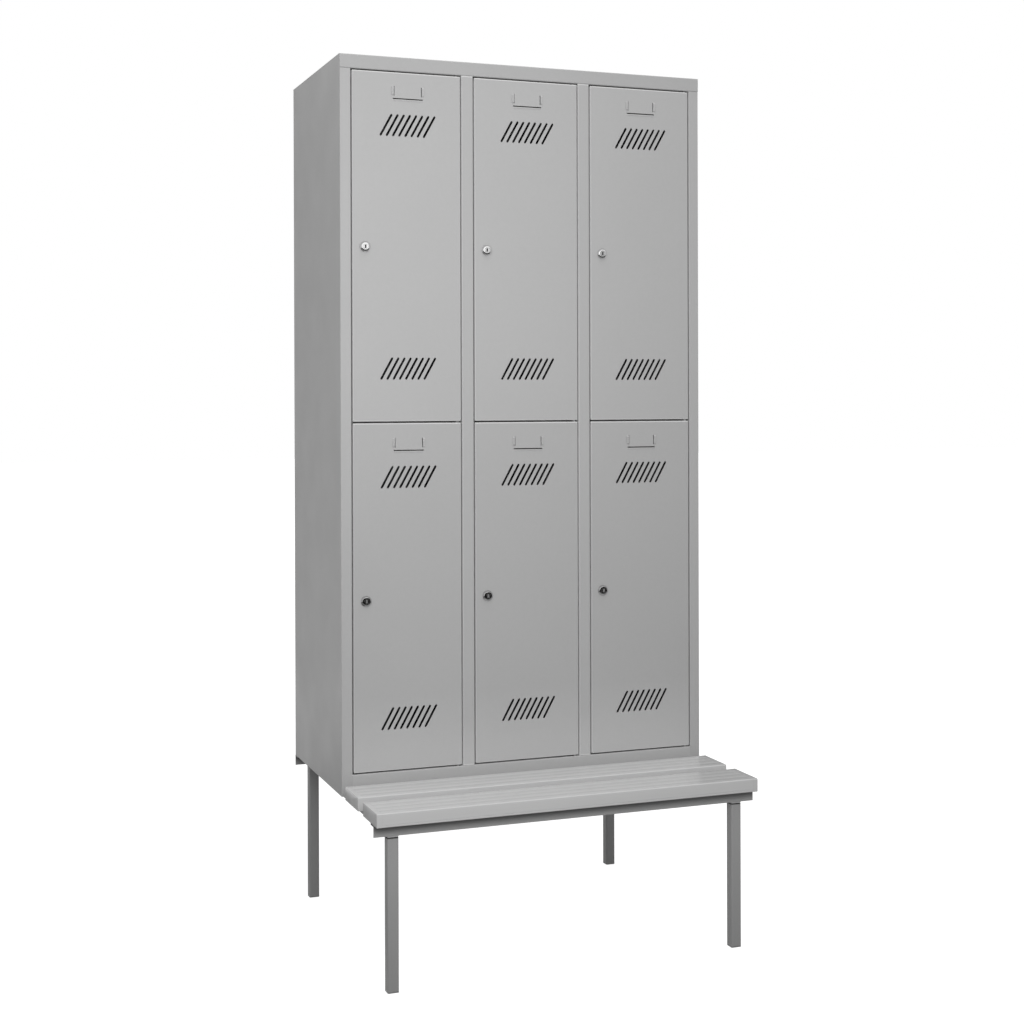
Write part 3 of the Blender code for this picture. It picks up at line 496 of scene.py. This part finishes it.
def surface(name, grey, roughness, metallic=0.0):
    """A new material with its shader and Object coordinates."""
    made = bpy.data.materials.new(name)
    made.use_nodes = True
    tree = made.node_tree
    shader = tree.nodes["Principled BSDF"]
    shader.inputs["Base Color"].default_value = (grey, grey, grey, 1)
    shader.inputs["Roughness"].default_value = roughness
    shader.inputs["Metallic"].default_value = metallic
    coordinates = tree.nodes.new("ShaderNodeTexCoord").outputs["Object"]
    return made, tree, shader, coordinates


def noise(tree, coordinates, scale, detail, stretch=None):
    """A noise field of a given scale, drawn out along the axes where it has a stretch."""
    if stretch is not None:
        mapping = tree.nodes.new("ShaderNodeMapping")
        mapping.inputs["Scale"].default_value = stretch
        tree.links.new(coordinates, mapping.inputs["Vector"])
        coordinates = mapping.outputs["Vector"]
    made = tree.nodes.new("ShaderNodeTexNoise")
    made.inputs["Scale"].default_value = scale
    made.inputs["Detail"].default_value = detail
    tree.links.new(coordinates, made.inputs["Vector"])
    return made.outputs["Fac"]


def ranged(tree, value, low, high, new_low, new_high):
    """Maps a field from one range to another, held at the ends."""
    made = tree.nodes.new("ShaderNodeMapRange")
    limits = {"From Min": low, "From Max": high, "To Min": new_low, "To Max": new_high}
    for socket, number in limits.items():
        made.inputs[socket].default_value = number
    tree.links.new(value, made.inputs["Value"])
    return made.outputs["Result"]


def worked(tree, operation, first, second):
    """One step of arithmetic on two fields or numbers."""
    made = tree.nodes.new("ShaderNodeMath")
    made.operation = operation
    for index, value in enumerate((first, second)):
        if isinstance(value, (int, float)):
            made.inputs[index].default_value = value
        else:
            tree.links.new(value, made.inputs[index])
    return made.outputs["Value"]


def split(tree, coordinates):
    """The X, Y and Z fields of the coordinates."""
    made = tree.nodes.new("ShaderNodeSeparateXYZ")
    tree.links.new(coordinates, made.inputs["Vector"])
    return made.outputs


def grey_link(tree, value, socket):
    """Feeds a grey field to a colour socket."""
    made = tree.nodes.new("ShaderNodeCombineColor")
    for channel in ("Red", "Green", "Blue"):
        tree.links.new(value, made.inputs[channel])
    tree.links.new(made.outputs["Color"], socket)


def bumped(tree, shader, height, distance):
    """Feeds a height field to the shader's normal, in metres."""
    made = tree.nodes.new("ShaderNodeBump")
    made.inputs["Distance"].default_value = distance
    tree.links.new(height, made.inputs["Height"])
    tree.links.new(made.outputs["Normal"], shader.inputs["Normal"])


def scaled(value, shares):
    """A value times each of several shares."""
    return [value * share for share in shares]


def band(tree, value, limits, tone):
    """A tone between two limits of a field and one outside them, with soft edges."""
    rise = ranged(tree, value, limits[0] - BAND_EDGE, limits[0], 0.0, 1.0)
    fall = ranged(tree, value, limits[1], limits[1] + BAND_EDGE, 1.0, 0.0)
    return ranged(tree, worked(tree, "MULTIPLY", rise, fall), 0.0, 1.0, 1.0, tone)


def edge_highlights(tree, place, names):
    """How much lighter the painted highlights along the edges are: the most at an edge, none past its width.

    The pieces stand in a row at one pitch, so x is wrapped by the pitch and one distance serves
    them all. The flanks, in the gaps, carry painted light too.
    """
    low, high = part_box(names[0])
    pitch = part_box(names[1])[0][0] - low[0]
    axes = split(tree, place)
    from_edge = worked(tree, "SUBTRACT", axes["X"], low[0] - EDGE_WIDTH)
    across = worked(tree, "FLOORED_MODULO", from_edge, pitch)
    along = worked(tree, "SUBTRACT", across, EDGE_WIDTH)
    to_right = worked(tree, "SUBTRACT", high[0] - low[0], along)
    distances = {
        "side": worked(tree, "MINIMUM", along, to_right),
        "top": worked(tree, "SUBTRACT", high[2], axes["Z"]),
        "foot": worked(tree, "SUBTRACT", axes["Z"], low[2]),
    }
    flank_full = FLANK_FULL_SHARE * FLANK_WIDTH
    edge_full = EDGE_FULL_SHARE * EDGE_WIDTH
    highlight = ranged(tree, distances["side"], flank_full, FLANK_WIDTH, FLANK_TONE, 0.0)
    for edge, distance in distances.items():
        edge_highlight = ranged(tree, distance, edge_full, EDGE_WIDTH, EDGE_HIGHLIGHT[edge], 0.0)
        highlight = worked(tree, "MAXIMUM", highlight, edge_highlight)
    return highlight


def frame_painted_light_and_fade(tree, height, tone):
    """The base frame's tone with painted shade, a painted highlight and legs darker to the feet.

    Painted shade darkens the bars towards the boards, which shade them, and fills the joint under
    each leg's collar. The legs are darker towards their feet, and the collars carry a painted
    highlight.
    """
    for factor in (
        ranged(tree, height, *BAR_PAINTED_SHADE),
        ranged(tree, height, *LEG_FOOT_FADE),
        band(tree, height, LEG_JOINT, LEG_JOINT_SHADE),
        band(tree, height, LEG_COLLAR, LEG_COLLAR_HIGHLIGHT),
    ):
        tone = worked(tree, "MULTIPLY", tone, factor)
    return tone


def paint(name, grey, roughness=PAINT_ROUGHNESS, is_frame=False, dust=None, edges=None):
    """Powder coat: a fine orange peel, a slight unevenness in tone, and scuffs low down.

    The base frame has its painted shade and highlight besides. Where a piece has foot light, painted
    bounce light makes it pale at the foot and thins out upwards, and where edges name two pieces of
    a row, those of the whole row carry painted highlights along their edges.
    """
    made, tree, shader, place = surface(name, grey, roughness)
    height = split(tree, place)["Z"]
    broad = ranged(tree, noise(tree, place, *PAINT_BROAD), *BROAD_TONE)
    fine = ranged(tree, noise(tree, place, *PAINT_FINE), *FINE_TONE)
    marks = ranged(tree, noise(tree, place, *PAINT_SCUFFS), *SCUFF_SHARE)
    scuffs = worked(tree, "MULTIPLY", marks, ranged(tree, height, *SCUFF_HEIGHT))
    tone = worked(tree, "ADD", broad, fine)
    tone = worked(tree, "SUBTRACT", tone, worked(tree, "MULTIPLY", scuffs, SCUFF_TONE_LOSS))
    # Painted shade on the bars and in the leg joints, a painted highlight on the collars, and legs darker to the
    # feet
    if is_frame:
        tone = frame_painted_light_and_fade(tree, height, tone)
    # Painted bounce light, paler towards the foot
    if dust is not None:
        tone = worked(tree, "MULTIPLY", tone, ranged(tree, height, *dust))
    # Painted highlights along the edges, and painted light on the flanks in the gaps
    if edges is not None:
        highlight = worked(tree, "ADD", 1.0, edge_highlights(tree, place, edges))
        tone = worked(tree, "MULTIPLY", tone, highlight)
    grey_link(tree, worked(tree, "MULTIPLY", tone, grey), shader.inputs["Base Color"])
    sheen = ranged(tree, noise(tree, place, *PAINT_SHEEN), *SHEEN_ROUGHNESS)
    dulled = worked(tree, "MULTIPLY", scuffs, SCUFF_ROUGHNESS_GAIN)
    rough = worked(tree, "ADD", worked(tree, "ADD", sheen, roughness), dulled)
    tree.links.new(rough, shader.inputs["Roughness"])
    bumped(tree, shader, noise(tree, place, *PAINT_PEEL), PEEL_HEIGHT)
    return made


def slat_plastic(name, grey):
    """Extruded plastic: fine lines drawn along its length, a smooth sheen and a few long rubs."""
    made, tree, shader, place = surface(name, grey, SLAT_ROUGHNESS)
    lines = noise(tree, place, *SLAT_LINES)
    streaks = noise(tree, place, *SLAT_STREAKS)
    rubs = ranged(tree, noise(tree, place, *SLAT_RUBS), *RUB_SHARE)
    streak_tone = ranged(tree, streaks, *STREAK_TONE)
    tone = worked(tree, "ADD", streak_tone, ranged(tree, lines, *LINE_TONE))
    tone = worked(tree, "SUBTRACT", tone, worked(tree, "MULTIPLY", rubs, RUB_TONE_LOSS))
    grey_link(tree, worked(tree, "MULTIPLY", tone, grey), shader.inputs["Base Color"])
    rough = worked(tree, "ADD", ranged(tree, streaks, *STREAK_ROUGHNESS), SLAT_ROUGHNESS)
    rough = worked(tree, "ADD", rough, worked(tree, "MULTIPLY", rubs, RUB_ROUGHNESS_GAIN))
    tree.links.new(rough, shader.inputs["Roughness"])
    bumped(tree, shader, lines, DRAWN_HEIGHT)
    return made


def plated(name, grey, roughness, grain):
    """Plated metal: fine turning marks and slightly dulled patches."""
    made, tree, shader, place = surface(name, grey, roughness, metallic=1.0)
    patches = noise(tree, place, *PLATED_PATCHES)
    tone = ranged(tree, patches, *PATCH_LIMITS, *scaled(grey, PATCH_TONES))
    grey_link(tree, tone, shader.inputs["Base Color"])
    rough = ranged(tree, patches, *PATCH_LIMITS, *scaled(roughness, PATCH_ROUGHNESS))
    tree.links.new(rough, shader.inputs["Roughness"])
    bumped(tree, shader, noise(tree, place, *PLATED_GRAIN), grain)
    return made


def moulded(name, grey, roughness):
    """Moulded plastic: a fine matt grain with dusty patches."""
    made, tree, shader, place = surface(name, grey, roughness)
    dust = noise(tree, place, *MOULDED_DUST)
    tone = ranged(tree, dust, *DUST_LIMITS, *scaled(grey, DUST_TONES))
    grey_link(tree, tone, shader.inputs["Base Color"])
    rough = worked(tree, "ADD", ranged(tree, dust, *DUST_ROUGHNESS), roughness)
    tree.links.new(rough, shader.inputs["Roughness"])
    bumped(tree, shader, noise(tree, place, *MOULDED_GRAIN), MOULDED_GRAIN_HEIGHT)
    return made


PAINTS = {
    "cabinet_paint": {"grey": CABINET_GREY},
    # Painted light: the upper doors are a lighter copy of the cabinet paint
    "upper_door_paint": {
        "grey": CABINET_GREY * UPPER_DOOR_LIGHT,
        "edges": ("upper_left_door", "upper_middle_door"),
    },
    # Painted shade: the lower doors are a darker copy of the cabinet paint, with painted bounce light at their
    # feet
    "lower_door_paint": {
        "grey": CABINET_GREY * LOWER_DOOR_SHADE,
        "dust": DOOR_FOOT_LIGHT,
        "edges": ("lower_left_door", "lower_middle_door"),
    },
    # Painted bounce light at the stiles' feet
    "stile_paint": {
        "grey": CABINET_GREY,
        "dust": STILE_FOOT_LIGHT,
        "edges": ("middle_stile_1", "middle_stile_2"),
    },
    # Painted light on the rail and painted shade on the header, both copies of the cabinet paint
    "rail_paint": {"grey": CABINET_GREY * RAIL_LIGHT},
    "header_paint": {"grey": CABINET_GREY * HEADER_SHADE},
    "frame_paint": {"grey": FRAME_GREY, "roughness": FRAME_ROUGHNESS, "is_frame": True},
}
# Painted light: the back board is a lighter copy of the slat plastic
SLAT_PLASTICS = {"slat": SLAT_GREY, "back_slat": SLAT_GREY * BACK_SLAT_LIGHT}
PLATINGS = {
    "chrome": (CHROME_GREY, CHROME_ROUGHNESS, CHROME_GRAIN_HEIGHT),
    # The lower locks' chrome, a darker copy of the chrome: painted shade in its reflections
    "dull_chrome": (SHADED_CHROME_GREY, CHROME_ROUGHNESS, CHROME_GRAIN_HEIGHT),
    "zinc": (ZINC_GREY, ZINC_ROUGHNESS, ZINC_GRAIN_HEIGHT),
    # The top pivots' zinc, a darker copy of the zinc: painted shade
    "dull_zinc": (SHADED_ZINC_GREY, DULL_ZINC_ROUGHNESS, ZINC_GRAIN_HEIGHT),
}
MOULDINGS = {
    # The upper keyways, a darker copy of the lower ones' moulding: painted shade
    "upper_keyway": (SHADED_KEYWAY_GREY, KEYWAY_ROUGHNESS),
    "lower_keyway": (KEYWAY_GREY, KEYWAY_ROUGHNESS),
    "foot_plastic": (FOOT_GREY, FOOT_ROUGHNESS),
}


def all_finishes():
    """Every finish by its name."""
    made = {name: paint(name, **settings) for name, settings in PAINTS.items()}
    made.update({name: slat_plastic(name, grey) for name, grey in SLAT_PLASTICS.items()})
    made.update({name: plated(name, *settings) for name, settings in PLATINGS.items()})
    made.update({name: moulded(name, *settings) for name, settings in MOULDINGS.items()})
    return made


# The locker

# Nodes whose finish isn't that of their slot: how the name starts, how it ends, and the finish
NODE_FINISHES = (
    ("upper_", "_door", "upper_door_paint"),
    ("lower_", "_door", "lower_door_paint"),
    ("middle_stile_", "", "stile_paint"),
    ("bottom_panel", "", "rail_paint"),
    ("top_panel", "", "header_paint"),
    # The top pivots take a darker copy of the zinc: painted shade
    ("", "_top_pivot", "dull_zinc"),
)


def node_finish(name, slot):
    """The name of a node's finish: one of its own, or else that of its slot."""
    for start, end, finish in NODE_FINISHES:
        if name.startswith(start) and name.endswith(end):
            return finish
    return slot


def dress_nodes(finishes):
    """Gives every node of the frame its finish."""
    slots = {part["node"]: part["material_slot"] for part in frame["record"]["subparts"]}
    for name, node in frame["nodes"].items():
        node.data.materials.clear()
        node.data.materials.append(finishes[node_finish(name, slots[name])])


def bench_boards(finishes):
    """The grooved boards in place of the plain ones."""
    for name, finish in (("front_slat", "slat"), ("back_slat", "back_slat")):
        skins = slat_skins(*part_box(name))
        add_piece(f"{name}_board", skins, finishes[finish], "cabinet", [name])


def locks(finishes):
    """The fine lock bodies and plugs in place of the plain ones, and the floors of the keyways."""
    axes = {joint["name"]: joint["pos_m"] for joint in frame["joints"]}
    # The lower locks take a darker copy of the chrome: painted shade in their reflections
    for tier, plating in (("lower", "dull_chrome"), ("upper", "chrome")):
        # The upper keyways take a darker copy of the moulding: painted shade
        metal, ward = finishes[plating], finishes[f"{tier}_keyway"]
        for side in ("left", "middle", "right"):
            name = f"{tier}_{side}"
            leaf, cam = f"{name}_leaf", f"{name}_cam"
            place = axes[f"{name}_lock_turn"]
            rim, plug = lock_body_skins(place), lock_plug_skins(place)
            floor = keyway_floor_skins(place)
            add_piece(f"{name}_lock_rim", rim, metal, leaf, [f"{name}_lock_body"])
            add_piece(f"{name}_key_plug", plug, metal, cam, [f"{name}_lock_plug"])
            add_piece(f"{name}_keyway_floor", floor, ward, cam)


# Stage


def seen_white(tree):
    """One where a camera, glossy or transmission ray looks, and zero for the light itself."""
    path = tree.nodes.new("ShaderNodeLightPath")
    seen = worked(tree, "MAXIMUM", path.outputs["Is Camera Ray"], path.outputs["Is Glossy Ray"])
    return worked(tree, "MAXIMUM", seen, path.outputs["Is Transmission Ray"])


def room():
    """A soft even room, white where it is looked at."""
    world = bpy.data.worlds.new("room")
    bpy.context.scene.world = world
    world.use_nodes = True
    tree = world.node_tree
    background = tree.nodes["Background"]
    background.inputs["Color"].default_value = (1, 1, 1, 1)
    strength = ranged(tree, seen_white(tree), 0.0, 1.0, ROOM_LEVEL, 1.0)
    tree.links.new(strength, background.inputs["Strength"])


def flat_card(name, corners):
    """A flat sheet through four corners, with a material that has no nodes yet."""
    mesh = bpy.data.meshes.new(name)
    mesh.from_pydata(corners, [], [(0, 1, 2, 3)])
    made = bpy.data.materials.new(name)
    made.use_nodes = True
    made.node_tree.nodes.clear()
    mesh.materials.append(made)
    card = bpy.data.objects.new(name, mesh)
    bpy.context.scene.collection.objects.link(card)
    return card


def finish_card(tree, shader):
    """Feeds a card's shader to its output."""
    output = tree.nodes.new("ShaderNodeOutputMaterial")
    tree.links.new(shader, output.inputs["Surface"])


def standing_x(x_low, x_high, y, z_low, z_high):
    """Corners of an upright rectangle that runs along X."""
    return [(x_low, y, z_low), (x_high, y, z_low), (x_high, y, z_high), (x_low, y, z_high)]


def standing_y(y_low, y_high, x, z_low, z_high):
    """Corners of an upright rectangle that runs along Y."""
    return [(x, y_low, z_low), (x, y_high, z_low), (x, y_high, z_high), (x, y_low, z_high)]


def lying(x_low, x_high, y_low, y_high, z):
    """Corners of a level rectangle."""
    return [(x_low, y_low, z), (x_high, y_low, z), (x_high, y_high, z), (x_low, y_high, z)]


def studio_floor():
    """A pale floor that keeps the locker's shadow.

    It is plain diffuse for the light, and brighter where it is looked at.
    """
    corners = lying(-FLOOR_REACH, FLOOR_REACH, -FLOOR_REACH, FLOOR_REACH, 0)
    tree = flat_card("floor", corners).active_material.node_tree
    seen = seen_white(tree)
    diffuse = tree.nodes.new("ShaderNodeBsdfDiffuse")
    grey_link(tree, ranged(tree, seen, 0.0, 1.0, FLOOR_GREY, FLOOR_SEEN), diffuse.inputs["Color"])
    glow = tree.nodes.new("ShaderNodeEmission")
    tree.links.new(worked(tree, "MULTIPLY", seen, FLOOR_GLOW), glow.inputs["Strength"])
    both = tree.nodes.new("ShaderNodeAddShader")
    tree.links.new(diffuse.outputs["BSDF"], both.inputs[0])
    tree.links.new(glow.outputs["Emission"], both.inputs[1])
    finish_card(tree, both.outputs["Shader"])


# Studio flags and reflectors: name, how each is set, its limits and its level
CARDS = (
    ("low_flag", standing_x, (-4.0, 6.0, CARD_FRONT, 0.0, 1.45), 0.01),
    ("bright_card", standing_x, (0.5, 1.7, CARD_FRONT, 1.45, 3.2), 1.3),
    ("front_flag", standing_x, (2.35, 6.0, CARD_FRONT, 1.45, 3.2), 0.55),
    ("far_floor_flag", lying, (-5.0, 6.0, CARD_FRONT, -3.0, CARD_LIFT), 0.01),
    ("near_floor_flag", lying, (-5.0, 6.0, -3.0, -0.6, CARD_LIFT), 0.2),
    ("side_floor_flag", lying, (-5.0, -0.5, -0.6, 1.75, CARD_LIFT), 0.16),
    ("under_floor_flag", lying, (-0.5, 3.0, -0.6, 1.75, CARD_LIFT), 0.45),
    ("back_floor_card", lying, (-5.0, -0.5, 1.75, CARD_BACK, CARD_LIFT), 0.95),
    ("side_flag", standing_x, (0.75, 3.2, 1.6, 0.2, 2.6), 0.05),
    ("left_back_card", standing_x, (-4.5, -0.6, CARD_BACK, 0.0, 2.6), 0.68),
    ("roof_card", lying, (-5.0, 5.0, -5.9, 0.5, 4.4), 0.48),
    ("left_card", standing_y, (-5.9, -0.5, -4.9, 0.2, 4.4), 0.5),
    ("right_card", standing_y, (-5.9, 0.4, 4.9, 0.2, 4.4), 0.5),
)

# Lamps: name, place, the point that each is turned to, and its power
LAMPS = (
    ("key_light", (-0.65, -1.8, 1.6), (0, 0, 1.7), 21.5),
    ("top_light", (0.0, -0.7, 4.2), (0, -0.3, 0.4), 23),
)


def mirror_card(name, corners, level):
    """A card at an even level that only reflections show, as a studio flag or reflector."""
    card = flat_card(name, corners)
    made = card.active_material
    even = made.node_tree.nodes.new("ShaderNodeEmission")
    even.inputs["Strength"].default_value = level
    finish_card(made.node_tree, even.outputs["Emission"])
    made.cycles.emission_sampling = "NONE"
    card.visible_camera = False
    card.visible_diffuse = False
    card.visible_shadow = False
    card.visible_transmission = False


def lamp(name, place, target, power):
    """A square soft light at a place, turned to a target, that is itself never seen."""
    data = bpy.data.lights.new(name, "AREA")
    data.shape = "SQUARE"
    data.size = LAMP_SIZE
    data.energy = power
    light = bpy.data.objects.new(name, data)
    light.location = place
    aim = Vector(target) - Vector(place)
    light.rotation_euler = aim.to_track_quat("-Z", "Y").to_euler()
    light.visible_camera = False
    light.visible_glossy = False
    bpy.context.scene.collection.objects.link(light)


def camera():
    """The camera at the photograph's view."""
    data = bpy.data.cameras.new("camera")
    data.lens = CAMERA_LENS
    data.shift_y = CAMERA_SHIFT
    made = bpy.data.objects.new("camera", data)
    bpy.context.scene.collection.objects.link(made)
    bpy.context.scene.camera = made
    forward = Vector((
        -math.sin(CAMERA_YAW) * math.cos(CAMERA_PITCH),
        math.cos(CAMERA_YAW) * math.cos(CAMERA_PITCH),
        math.sin(CAMERA_PITCH),
    ))
    level = Vector((math.cos(CAMERA_YAW), math.sin(CAMERA_YAW), 0))
    above = level.cross(forward)
    right = math.cos(CAMERA_ROLL) * level + math.sin(CAMERA_ROLL) * above
    up = -math.sin(CAMERA_ROLL) * level + math.cos(CAMERA_ROLL) * above
    turn = Matrix((right, up, -forward)).transposed()
    made.matrix_world = Matrix.Translation(CAMERA_PLACE) @ turn.to_4x4()


def stage():
    """Camera, room, floor, lamps and cards."""
    camera()
    room()
    studio_floor()
    for settings in LAMPS:
        lamp(*settings)
    for name, corners, limits, level in CARDS:
        mirror_card(name, corners(*limits), level)
    bpy.context.scene.view_settings.view_transform = "Standard"


finishes = all_finishes()
dress_nodes(finishes)
bench_boards(finishes)
locks(finishes)
rail_welds(finishes)
stage()
